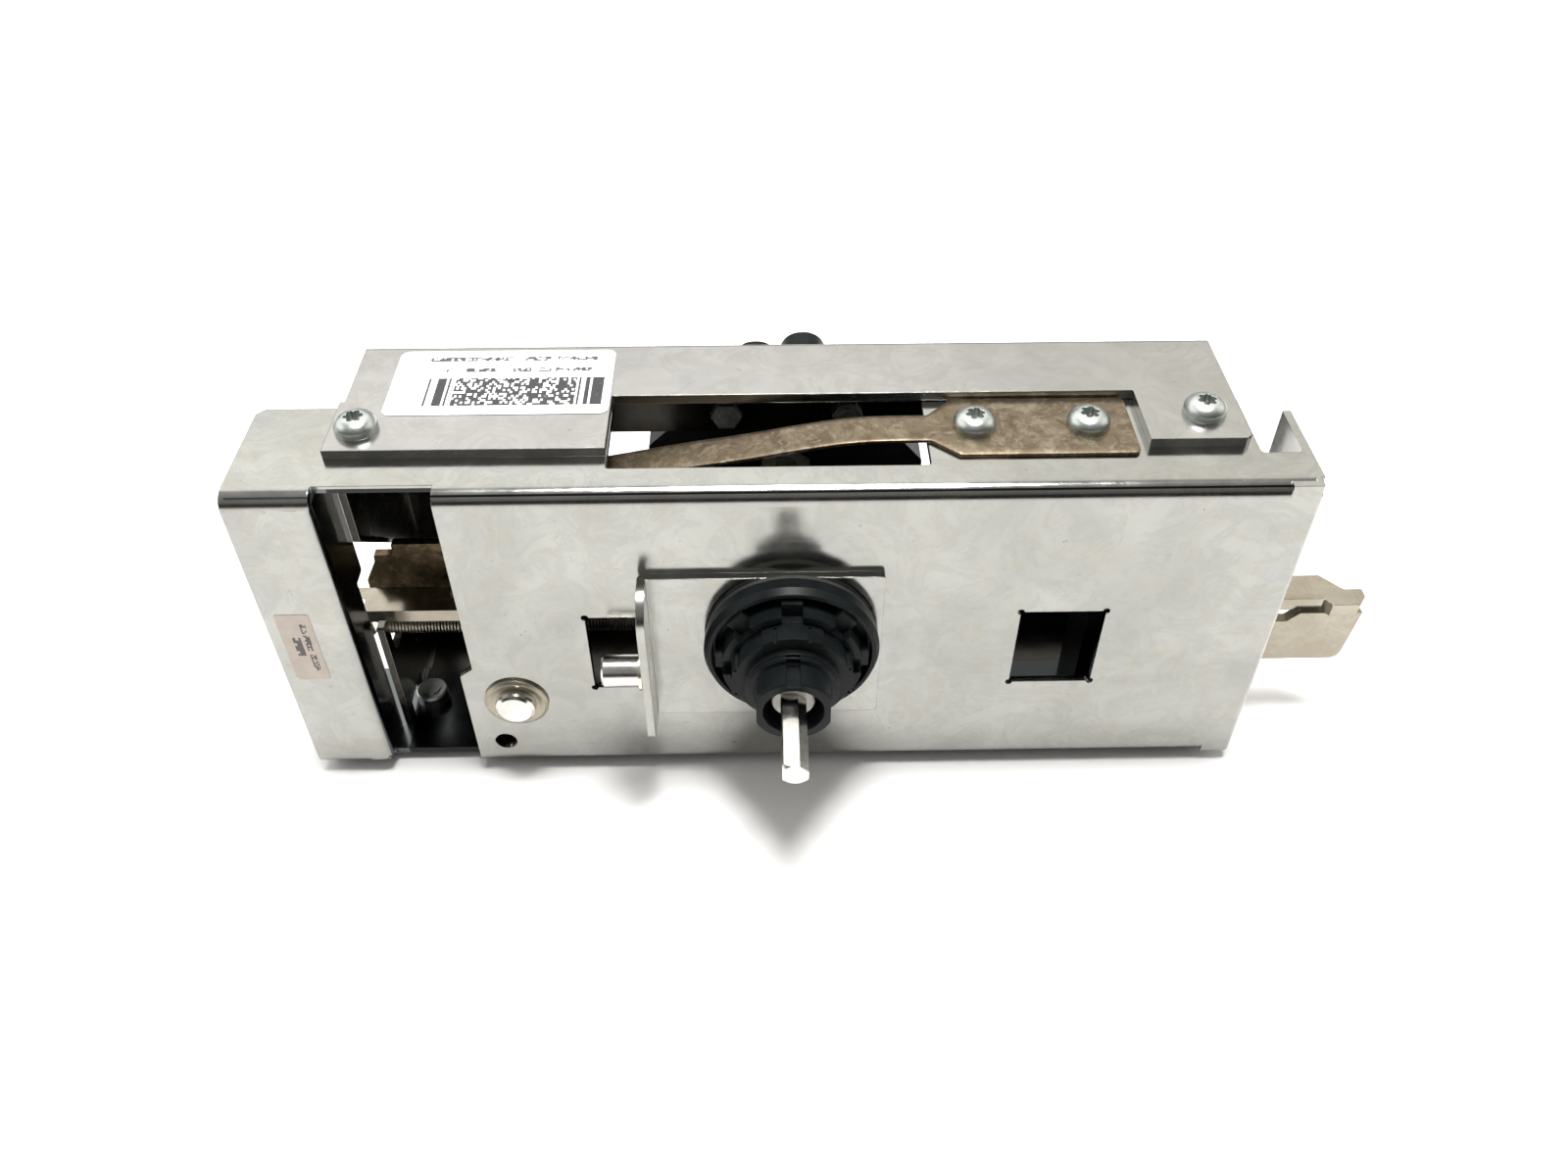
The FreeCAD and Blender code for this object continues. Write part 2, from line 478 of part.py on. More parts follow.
# notch that the catch drops into when the latch is drawn back
bar = bar.cut(rprism_xy([(CATCH_X0 + TRAVEL - 0.7, 23.0), (CATCH_X1 + TRAVEL + 0.7, 23.0),
                         (CATCH_X1 + TRAVEL + 0.7, 35), (CATCH_X0 + TRAVEL - 0.7, 35)], [1, 1, 0, 0], BAR_Z0 - 1, BAR_Z1 + 1))
POST_X = 14.2
bar = bar.cut(cyl_z(1.5, BAR_Z0 - 1, BAR_Z1 + 1, POST_X, SPR_Y))
save("latch_bar", bar)
hook = rprism_xz([(238.0, 15.5), (281.2, 15.5), (TIP_X - 0.2, BAR_Z0), (266.0, BAR_Z0), (263.0, 30.2), (250.6, 30.2), (238.0, 30.2)],
                 [1.0, 3.0, 0, 0.6, 0.6, 0, 1.0], 18.6, 21.6)
hook_tab = rprism_xz([(241.0, 29.0), (248.0, 29.0), (248.0, BAR_Z0), (241.0, BAR_Z0)], [0, 0, 0, 0], 20.0, 21.6)
hook = fuse(hook, hook_tab)
save("hook_plate", hook)
yoke = rprism_xz([(PX - 11.5, 27.0), (PX + 11.5, 27.0), (PX + 11.5, 41.2), (PX - 11.5, 41.2)], [2, 2, 2, 2], BAR_Y1, BAR_Y1 + 3.2)
YOKE_W = 4.0 + 2 * 0.62
sl = rprism_xz([(PX - YOKE_W / 2, 29.4), (PX + YOKE_W / 2, 29.4), (PX + YOKE_W / 2, 41.9), (PX - YOKE_W / 2, 41.9)],
               [2.0, 2.0, 0, 0], BAR_Y1 - 1, BAR_Y1 + 4)
yoke = yoke.cut(sl)
save("latch_yoke", yoke)
post = fuse(cyl_z(1.5, 25.9, BAR_Z1, POST_X, SPR_Y), cyl_z(2.0, 25.9, 26.7, POST_X, SPR_Y))
save("spring_post", post)
anchor = fuse(cyl_z(2.0, ZB, 31.6, ANCHOR_X, SPR_Y), cyl_z(3.2, ZB + T, ZB + T + 2.0, ANCHOR_X, SPR_Y),
              cyl_z(2.6, 31.6, 32.6, ANCHOR_X, SPR_Y))
save("spring_anchor", anchor)
# extension spring: coiled body as a tube, with a flat eye at each end
s_x0, s_x1 = POST_X + 4.2, ANCHOR_X - 5.0
coil = cyl_x(SPR_R, s_x0, s_x1, SPR_Y, SPR_Z).cut(cyl_x(SPR_R - 0.8, s_x0 - 1, s_x1 + 1, SPR_Y, SPR_Z))


def eye(cx, toward):
    ring_r = 2.75
    e = cyl_z(ring_r + 0.35, SPR_Z - 0.4, SPR_Z + 0.4, cx, SPR_Y).cut(cyl_z(ring_r - 0.55, SPR_Z - 2, SPR_Z + 2, cx, SPR_Y))
    x_a, x_b = sorted((cx + toward * (ring_r - 0.2), cx + toward * (ring_r + 6)))
    link = box(x_a, x_b, SPR_Y - 0.4, SPR_Y + 0.4, SPR_Z - 0.4, SPR_Z + 0.4)
    return e.fuse(link)


end_disc = lambda x: cyl_x(SPR_R, x, x + 0.8, SPR_Y, SPR_Z)
eye_l = eye(POST_X, 1).common(box(0, s_x0 + 0.4, 0, 60, 0, 60))
eye_r = eye(ANCHOR_X, -1).common(box(s_x1 - 0.4, 300, 0, 60, 0, 60))
coil = fuse(coil, end_disc(s_x0), end_disc(s_x1 - 0.8), eye_l, eye_r)
save("extension_spring", coil)


# -------------------------------------------------------------- slide guides
def guide(x0, x1, z_low):
    g = rprism_yz([(16.6, ZB + T), (31.8, ZB + T), (31.8, 42.0), (16.6, 42.0)], [0, 0, 1.5, 1.5], x0, x1)
    g = g.cut(box(x0 - 1, x1 + 1, BAR_Y0 - 0.25, BAR_Y1 + 0.25, z_low, BAR_Z1 + 0.25))
    return g


g_left = guide(*GUIDE_L, z_low=SPR_Z - SPR_R - 0.6)
g_right = guide(*GUIDE_R, z_low=BAR_Z0 - 0.25)
for (x, y), g in zip(GUIDE_SCREWS, ("l", "r")):
    if g == "l":
        g_left = g_left.cut(cyl_z(2.5, ZB, 13, x, y))
    else:
        g_right = g_right.cut(cyl_z(2.5, ZB, 13, x, y))
save("slide_guide_left", g_left)
save("slide_guide_right", g_right)
csk = []
for x, y in BASE_SCREWS:
    top_z = 12.0 if (x, y) in GUIDE_SCREWS else ZB + T + NUT_T + 0.4
    s = Part.makeCone(4.6, 2.5, 2.1, V(x, y, ZB - TC), V(0, 0, 1)).fuse(cyl_z(2.5, ZB - TC + 1, top_z, x, y)).removeSplitter()
    s = s.cut(cyl_z(1.4, ZB - TC - 1, ZB - TC + 1.3, x, y))
    csk.append(s)
save("base_screws", Part.makeCompound(csk))

# ---------------------------------------------------- locking lever and pivot
pin = fuse(cyl_y(PIN_R, -0.8, 38.0, PIN_X, PIN_Z),
           revolve_y([(0, -3.6), (4.3, -3.6), (5.1, -3.0), (5.3, -2.2), (5.3, -0.8), (0, -0.8)], PIN_X, PIN_Z))
LEV_Y0, LEV_Y1 = 32.4, 34.9
# groove for the clip
pin = pin.cut(revolve_y([(2.3, LEV_Y1 + 0.5), (4, LEV_Y1 + 0.5), (4, LEV_Y1 + 1.5), (2.3, LEV_Y1 + 1.5)], PIN_X, PIN_Z))
# collar in front of the lever
pin = pin.fuse(revolve_y([(2.5, LEV_Y0 - 2.0), (4.4, LEV_Y0 - 2.0), (4.4, LEV_Y0 - 0.3), (2.5, LEV_Y0 - 0.3)], PIN_X, PIN_Z)).removeSplitter()
save("pivot_pin", pin)
washer = revolve_y([(PIN_R + 0.02, -0.8), (5.9, -0.8), (7.4, -1.3), (8.3, -0.7), (8.3, 0.0), (PIN_R + 0.02, 0.0)], PIN_X, PIN_Z)
save("pivot_washer", washer)
clip = revolve_y([(2.3, LEV_Y1 + 0.6), (5.2, LEV_Y1 + 0.6), (5.2, LEV_Y1 + 1.4), (2.3, LEV_Y1 + 1.4)], PIN_X, PIN_Z)
clip = clip.cut(box(PIN_X - 1.2, PIN_X + 1.2, LEV_Y1, LEV_Y1 + 3, PIN_Z, PIN_Z + 8))
save("pivot_clip", clip)
TAB_TOP = 74.2
lever = rprism_xz([(14.2, 33.0), (42.0, 33.0), (47.0, 29.0), (50.0, 18.0), (57.0, 15.0), (65.0, 20.0), (65.0, 30.0),
                   (57.0, 46.0), (54.0, TAB_TOP), (46.0, TAB_TOP), (43.0, 49.8), (23.1, 49.8), (23.1, 46.0),
                   (17.8, 46.0), (17.6, 43.6), (14.2, 37.0)],
                  [0.6, 1, 6, 4, 7, 7, 5, 6, 1.0, 1.0, 2, 0.5, 0.3, 0.4, 0.8, 0.5], LEV_Y0, LEV_Y1)
catch = box(CATCH_X0, CATCH_X1, 24.0, LEV_Y1, BAR_Z1 + 0.4, BAR_Z1 + 2.6)
spring_tab = box(46.6, 53.4, 18.6, LEV_Y1, TAB_TOP - 2.2, TAB_TOP)
lever = fuse(lever, catch, spring_tab)
lever = lever.cut(cyl_y(PIN_R + 0.06, 30, 40, PIN_X, PIN_Z))
save("locking_lever", lever)

# ------------------------------------------------------------------- switch
c = 12.0
x0, x1 = AX - SW_X, AX + SW_X
case = rprism_xz([(x0, SW_Z0 + 8), (x0 + c, SW_Z0), (x1 - c, SW_Z0), (x1, SW_Z0 + 8), (x1, SW_Z1 - 17), (x1 - 14.6, SW_Z1),
                  (x0 + 11.5, SW_Z1), (x0, SW_Z1 - 11)], [1] * 8, SW_Y0, SW_Y1)
ears = box(AX - 22, AX + 22, CH_Y1, SW_Y0, 2.0, 80.0).cut(cyl_y(12.0, CH_Y1 - 1, SW_Y0 + 1))
ears = fuse(ears, box(AX - 22, AX + 22, SW_Y0, SW_Y0 + 2.0, 2.0, 80.0))
case = fuse(case, ears)
case = case.cut(cyl_y(9.5, SW_Y0 - 4, SW_Y0 + 6))
case = case.cut(cyl_y(7.3, SW_Y0 - 1, 78.0))
for x, z in SW_SCREWS:
    case = case.cut(cyl_y(2.0, CH_Y1 - 1, SW_Y0 + 3, x, z))
save("switch_body", case)
# terminal covers at the rear: two barrels above, two below
covers = []
for cx, zt, w in ((AX - 8.3, 65.6, 6.6), (AX + 5.7, 68.6, 6.8)):
    s = rprism_xz([(cx - w, 50.0), (cx + w, 50.0), (cx + w, zt), (cx - w, zt)], [0, 0, w * 0.93, w * 0.93], SW_Y1, REAR_Y)
    s = s.cut(cyl_y(w * 0.45, REAR_Y - 4, REAR_Y + 1, cx, zt - w))
    covers.append(s)
for cx, zb, w in ((AX - 8.6, 24.0, 7.6), (AX + 8.6, 24.0, 7.6)):
    s = rprism_xz([(cx - w, zb), (cx + w, zb), (cx + w, 42.0), (cx - w, 42.0)], [w * 0.6, w * 0.6, 0, 0], SW_Y1, REAR_Y)
    s = s.cut(cyl_y(w * 0.45, REAR_Y - 4, REAR_Y + 1, cx, zb + w))
    covers.append(s)
save("terminal_covers", Part.makeCompound(covers))
base = rprism_xz(rect(AX - 31, AX + 31, 27.0, 66.0), [2] * 4, SW_Y1, SW_Y1 + 5.0)
for s in covers:
    base = base.cut(s)
save("switch_rear_plate", base)
swscrews = []
for x, z in SW_SCREWS:
    s = cyl_y(2.0, CH_Y1 - TC - 2.7, SW_Y0 + 2.0, x, z).fuse(cyl_y(3.6, SW_Y0 + 2.0, SW_Y0 + 4.6, x, z)).removeSplitter()
    s = s.cut(box(x - 0.5, x + 0.5, SW_Y0 + 3.6, SW_Y0 + 6, z - 5, z + 5))
    swscrews.append(s)
save("switch_screws", Part.makeCompound(swscrews))
tnuts = []
for x, z in SW_SCREWS:
    r = 7.0 / math.sqrt(3)
    n = prism_xz([(x + r * math.cos(math.radians(60 * i)), z + r * math.sin(math.radians(60 * i))) for i in range(6)],
                 CH_Y1 - TC - 2.4, CH_Y1 - TC).cut(cyl_y(2.0, 50, 60, x, z))
    tnuts.append(n)
save("switch_nuts", Part.makeCompound(tnuts))

# ------------------------------------------------------------------- labels
label = rprism_xy([(31.5, 27.4), (85.4, 27.4), (85.4, 54.6), (31.5, 54.6)], [2.2] * 4, H + TC, H + TC + 0.15)
save("type_label", label)
small = rprism_xz([(2.8, 33.0), (11.2, 33.0), (11.2, 56.0), (2.8, 56.0)], [0.6] * 4, -0.12, 0.0)
save("strip_label", small)

for k in sorted(VOLUMES):
    print(k, VOLUMES[k])
print(len(VOLUMES), "nodes")
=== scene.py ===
import json
import math
import bpy
import bmesh
from mathutils import Vector, Matrix


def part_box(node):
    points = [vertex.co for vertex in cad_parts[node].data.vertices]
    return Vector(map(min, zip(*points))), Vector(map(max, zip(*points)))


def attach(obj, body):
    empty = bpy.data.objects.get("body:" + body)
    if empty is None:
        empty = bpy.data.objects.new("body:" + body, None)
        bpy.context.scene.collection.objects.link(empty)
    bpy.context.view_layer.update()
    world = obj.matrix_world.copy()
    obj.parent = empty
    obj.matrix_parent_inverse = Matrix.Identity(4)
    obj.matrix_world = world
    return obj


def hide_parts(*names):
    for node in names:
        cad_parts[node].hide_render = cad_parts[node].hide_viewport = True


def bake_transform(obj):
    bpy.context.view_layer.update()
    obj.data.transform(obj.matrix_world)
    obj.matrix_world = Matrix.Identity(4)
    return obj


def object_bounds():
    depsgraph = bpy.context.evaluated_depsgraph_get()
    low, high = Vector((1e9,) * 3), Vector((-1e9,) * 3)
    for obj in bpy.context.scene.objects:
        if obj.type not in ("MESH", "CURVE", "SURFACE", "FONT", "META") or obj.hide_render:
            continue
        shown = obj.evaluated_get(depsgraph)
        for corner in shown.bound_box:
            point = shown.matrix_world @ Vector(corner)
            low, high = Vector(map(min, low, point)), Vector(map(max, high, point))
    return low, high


# Looks of the cabinet switch lock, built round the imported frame. Metres, row frame.
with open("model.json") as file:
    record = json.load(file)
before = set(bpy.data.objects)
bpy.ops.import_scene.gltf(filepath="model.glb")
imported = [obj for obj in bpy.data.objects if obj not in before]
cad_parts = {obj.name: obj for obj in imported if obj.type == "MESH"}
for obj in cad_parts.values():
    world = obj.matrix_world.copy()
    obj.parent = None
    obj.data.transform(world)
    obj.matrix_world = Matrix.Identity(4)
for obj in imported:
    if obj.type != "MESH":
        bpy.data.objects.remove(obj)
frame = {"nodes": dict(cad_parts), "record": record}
LO0, HI0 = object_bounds()
NODES = frame["nodes"]


def P(x, y, z):
    """Housing millimetres (left front corner, X right, Y back, Z up) to row-frame metres."""
    return Vector(((x - 141.5) / 1000.0, (y - 29.6) / 1000.0, (z + 4.8) / 1000.0))


# ------------------------------------------------------------------ materials
class Mat:
    """A node material with a few short helpers."""

    def __init__(self, name):
        self.m = bpy.data.materials.new(name)
        self.m.use_nodes = True
        self.t = self.m.node_tree
        self.t.nodes.clear()
        self.out = self.n("ShaderNodeOutputMaterial")
        self.b = self.n("ShaderNodeBsdfPrincipled")
        self.l(self.b.outputs[0], self.out.inputs[0])
        self.co = self.n("ShaderNodeTexCoord").outputs["Object"]

    def n(self, kind, **kw):
        node = self.t.nodes.new(kind)
        for k, v in kw.items():
            setattr(node, k, v)
        return node

    def l(self, a, b):
        self.t.links.new(a, b)

    def put(self, sock, v):
        if isinstance(v, bpy.types.NodeSocket):
            self.l(v, sock)
        else:
            sock.default_value = v

    def mapped(self, scale=(1, 1, 1), loc=(0, 0, 0), rot=(0, 0, 0)):
        mp = self.n("ShaderNodeMapping")
        self.l(self.co, mp.inputs[0])
        mp.inputs["Scale"].default_value = scale
        mp.inputs["Location"].default_value = loc
        mp.inputs["Rotation"].default_value = rot
        return mp.outputs[0]

    def noise(self, scale, detail=3.0, rough=0.55, vec=None, dist=0.0):
        nd = self.n("ShaderNodeTexNoise")
        self.l(vec if vec is not None else self.co, nd.inputs["Vector"])
        nd.inputs["Scale"].default_value = scale
        nd.inputs["Detail"].default_value = detail
        nd.inputs["Roughness"].default_value = rough
        nd.inputs["Distortion"].default_value = dist
        return nd.outputs["Fac"]

    def voronoi(self, scale, feature="F1", vec=None):
        nd = self.n("ShaderNodeTexVoronoi", feature=feature)
        self.l(vec if vec is not None else self.co, nd.inputs["Vector"])
        nd.inputs["Scale"].default_value = scale
        return nd

    def ramp(self, fac, stops, interp="LINEAR"):
        nd = self.n("ShaderNodeValToRGB")
        nd.color_ramp.interpolation = interp
        el = nd.color_ramp.elements
        while len(el) < len(stops):
            el.new(0.5)
        for e, (p, c) in zip(el, stops):
            e.position = p
            e.color = (c, c, c, 1) if isinstance(c, (int, float)) else (*c, 1)
        self.l(fac, nd.inputs[0])
        return nd.outputs[0]

    def math(self, op, a, b=0.0, c=0.0, clamp=False):
        nd = self.n("ShaderNodeMath", operation=op)
        nd.use_clamp = clamp
        for s, v in zip(nd.inputs, (a, b, c)):
            self.put(s, v)
        return nd.outputs[0]

    def mix(self, fac, a, b, mode="MIX"):
        nd = self.n("ShaderNodeMix", data_type="RGBA", blend_type=mode)
        self.put(nd.inputs[0], fac)
        for s, v in ((nd.inputs[6], a), (nd.inputs[7], b)):
            if isinstance(v, bpy.types.NodeSocket):
                self.l(v, s)
            else:
                s.default_value = (*v, 1) if len(v) == 3 else v
        return nd.outputs[2]

    def sep(self, vec=None):
        nd = self.n("ShaderNodeSeparateXYZ")
        self.l(vec if vec is not None else self.co, nd.inputs[0])
        return nd.outputs

    def bump(self, height, strength, dist, bevel=0.0003, below=None):
        nd = self.n("ShaderNodeBump")
        nd.inputs["Strength"].default_value = strength
        nd.inputs["Distance"].default_value = dist
        self.l(height, nd.inputs["Height"])
        if below is not None:
            self.l(below, nd.inputs["Normal"])
        elif bevel:
            bv = self.n("ShaderNodeBevel")
            bv.samples = 4
            bv.inputs["Radius"].default_value = bevel
            self.l(bv.outputs[0], nd.inputs["Normal"])
        return nd.outputs[0]

    def painted_interior_shade(self, color, interior_shade):
        """Painted shade: a darker, duller tone on the sheet faces inside the box, less dark towards the open left end.
        """
        x, y, z = self.sep()
        lo, hi = P(1.2, 1.2, -2.8), P(243.0, 56.6, 91.6)
        mask = 1.0
        for s, a, b in ((x, lo.x, hi.x), (y, lo.y, hi.y), (z, lo.z, hi.z)):
            mask = self.math("MULTIPLY", mask, self.math("MULTIPLY", self.math("GREATER_THAN", s, a), self.math("LESS_THAN", s, b)))
        # the painted shade is lighter inside the left end, where more light gets in
        end = self.math("LESS_THAN", x, P(23.4, 0, 0).x)
        tone = self.mix(end, interior_shade, tuple(v * 4.2 for v in interior_shade))
        return self.mix(mask, color, tone)

    def set(self, **kw):
        names = {"color": "Base Color", "metal": "Metallic", "rough": "Roughness", "ior": "IOR",
                 "spec": "Specular IOR Level", "coat": "Coat Weight", "coat_rough": "Coat Roughness",
                 "sheen": "Sheen Weight", "normal": "Normal", "aniso": "Anisotropic",
                 "sss": "Subsurface Weight", "sss_scale": "Subsurface Scale"}
        for k, v in kw.items():
            s = self.b.inputs[names[k]]
            if isinstance(v, tuple) and len(v) == 3:
                v = (*v, 1)
            self.put(s, v)
        return self


def plated(name, base, dark, warm, r0, r1, spot=0.35, wave=0.00002, grain=(1, 1, 1), streak=0.05, bevel=0.00035,
           interior_shade=None, grime=0.35):
    """Zinc or nickel plated sheet: cloudy tone, small stains, rolled grain, faint scratches and a wavy surface, with
    painted shade on the faces inside the box when a shade colour is given.
    """
    m = Mat(name)
    cloud = m.noise(34, 5, 0.62, dist=0.6)
    blot = m.noise(130, 4, 0.6, dist=0.4)
    fine = m.noise(1500, 2, 0.6)
    rolled = m.noise(1.0, 3, 0.6, vec=m.mapped(scale=tuple(900 * g for g in grain)))
    c1 = m.mix(m.ramp(cloud, [(0.34, 0.0), (0.64, 1.0)]), dark, base)
    tide = m.ramp(m.noise(75, 6, 0.72, dist=1.4), [(0.47, 0.0), (0.53, 1.0), (0.60, 0.25)])
    c1 = m.mix(m.math("MULTIPLY", tide, grime), c1, tuple(v * 0.86 for v in dark))
    c2 = m.mix(m.math("MULTIPLY", m.ramp(blot, [(0.50, 0.0), (0.72, 1.0)]), spot), c1, warm)
    pits = m.ramp(m.noise(420, 3, 0.7), [(0.24, 1.0), (0.32, 0.0)])
    c3 = m.mix(m.math("MULTIPLY", pits, 0.5), c2, tuple(v * 0.45 for v in warm))
    c4 = m.mix(m.math("MULTIPLY", rolled, streak), c3, tuple(v * 0.5 for v in dark))
    # a few hair scratches in two directions
    s1 = m.ramp(m.noise(1.0, 2, 0.5, vec=m.mapped(scale=(22, 2200, 2200), rot=(0, 0.35, 0.3))), [(0.72, 0.0), (0.76, 1.0)])
    s2 = m.ramp(m.noise(1.0, 2, 0.5, vec=m.mapped(scale=(2000, 2000, 26), rot=(0.1, 0.5, 0.0))), [(0.73, 0.0), (0.77, 1.0)])
    scratch = m.math("ADD", s1, s2, clamp=True)
    c5 = m.mix(m.math("MULTIPLY", scratch, 0.22), c4, tuple(min(1, v * 1.25) for v in base))
    rough = m.ramp(m.math("ADD", m.math("MULTIPLY", cloud, 0.55), m.math("MULTIPLY", blot, 0.45)),
                   [(0.32, r0), (0.68, r1)])
    rough = m.math("ADD", rough, m.math("MULTIPLY", scratch, 0.08))
    rough = m.math("ADD", rough, m.math("MULTIPLY", pits, 0.12))
    low = m.noise(48, 2, 0.5)
    n1 = m.bump(low, 1.0, wave * 10, bevel)
    n2 = m.bump(m.math("ADD", m.math("MULTIPLY", fine, 0.4), m.math("MULTIPLY", rolled, 0.6)), 0.25, wave, below=n1)
    # painted shade: the faces inside the box are darkened towards the given shade colour
    if interior_shade is not None:
        c5 = m.painted_interior_shade(c5, interior_shade)
    m.set(color=c5, metal=1.0, rough=rough, normal=n2)
    return m.m


def turned(name, base, dark, r0, r1, bevel=0.0002, tint=(0.6, 0.62, 0.58)):
    """Small plated steel parts: pins, spacers, nuts and screw heads."""
    m = Mat(name)
    a = m.noise(260, 4, 0.6, dist=0.3)
    b = m.noise(2600, 2, 0.6)
    c = m.mix(m.ramp(a, [(0.3, 0.0), (0.7, 1.0)]), dark, base)
    c = m.mix(m.math("MULTIPLY", m.ramp(m.noise(700, 3, 0.6), [(0.55, 0.0), (0.75, 1.0)]), 0.3), c, tint)
    rough = m.ramp(m.math("ADD", m.math("MULTIPLY", a, 0.7), m.math("MULTIPLY", b, 0.3)), [(0.3, r0), (0.7, r1)])
    m.set(color=c, metal=1.0, rough=rough, normal=m.bump(b, 0.3, 0.000008, bevel))
    return m.m


def patina(name, base, light, dark, r0, r1, bevel=0.00025):
    """Heat-browned spring steel with rubbed, paler patches."""
    m = Mat(name)
    a = m.noise(150, 6, 0.7, dist=1.2)
    b = m.noise(620, 4, 0.7, dist=0.5)
    c = m.mix(m.ramp(a, [(0.40, 0.0), (0.62, 1.0)]), base, dark)
    rub = m.ramp(m.math("ADD", m.math("MULTIPLY", m.noise(95, 4, 0.75, dist=2.0), 0.6), m.math("MULTIPLY", b, 0.4)),
                 [(0.50, 0.0), (0.60, 1.0)])
    c = m.mix(m.math("MULTIPLY", rub, 0.8), c, light)
    c = m.mix(m.math("MULTIPLY", m.ramp(b, [(0.60, 0.0), (0.72, 1.0)]), 0.4), c, dark)
    m.set(color=c, metal=0.85, rough=m.ramp(a, [(0.3, r0), (0.7, r1)]),
          normal=m.bump(m.math("ADD", b, m.math("MULTIPLY", m.noise(3000, 2), 0.4)), 0.35, 0.00003, bevel))
    return m.m


def moulded(name, base, lift, r0, r1, spec=0.5, bevel=0.0003, grain=2400):
    """Satin moulded plastic: fine spark-eroded grain, dust and slightly polished patches."""
    m = Mat(name)
    a = m.noise(120, 4, 0.6)
    g = m.voronoi(grain).outputs["Distance"]
    dust = m.ramp(m.noise(900, 5, 0.75), [(0.60, 0.0), (0.76, 1.0)])
    c = m.mix(m.ramp(a, [(0.3, 0.0), (0.7, 1.0)]), base, lift)
    c = m.mix(m.math("MULTIPLY", dust, 0.22), c, tuple(v * 2.0 + 0.012 for v in lift))
    rough = m.math("ADD", m.ramp(a, [(0.3, r0), (0.7, r1)]), m.math("MULTIPLY", dust, 0.12))
    m.set(color=c, metal=0.0, rough=rough, normal=m.bump(g, 0.22, 0.00002, bevel))
    m.b.inputs["Specular IOR Level"].default_value = spec
    return m.m


def rubber(name, base):
    m = Mat(name)
    a = m.noise(300, 5, 0.7)
    c = m.mix(m.ramp(a, [(0.35, 0.0), (0.7, 1.0)]), base, tuple(v * 1.8 + 0.01 for v in base))
    m.set(color=c, rough=m.ramp(a, [(0.3, 0.55), (0.7, 0.8)]), normal=m.bump(m.noise(2500, 3), 0.4, 0.00003, 0.0002))
    return m.m


def nylon(name, base):
    m = Mat(name)
    a = m.noise(240, 4, 0.6)
    c = m.mix(m.ramp(a, [(0.35, 0.0), (0.7, 1.0)]), base, tuple(v * 0.86 for v in base))
    m.set(color=c, rough=m.ramp(a, [(0.3, 0.38), (0.7, 0.52)]), normal=m.bump(m.noise(1800, 2), 0.2, 0.00001, 0.0002))
    m.b.inputs["Subsurface Weight"].default_value = 0.12
    m.b.inputs["Subsurface Scale"].default_value = 0.002
    return m.m


def cell(m, axis_sock, origin, size):
    """Index of the square cell along one axis."""
    return m.math("FLOOR", m.math("DIVIDE", m.math("SUBTRACT", axis_sock, origin), size))


def inside(m, sock, a, b):
    return m.math("MULTIPLY", m.math("GREATER_THAN", sock, a), m.math("LESS_THAN", sock, b))


def random_cells(m, u, v, threshold, seed):
    cb = m.n("ShaderNodeCombineXYZ")
    m.l(u, cb.inputs[0])
    m.l(v, cb.inputs[1])
    cb.inputs[2].default_value = seed
    wn = m.n("ShaderNodeTexWhiteNoise", noise_dimensions="3D")
    m.l(cb.outputs[0], wn.inputs["Vector"])
    return m.math("GREATER_THAN", wn.outputs["Value"], threshold)


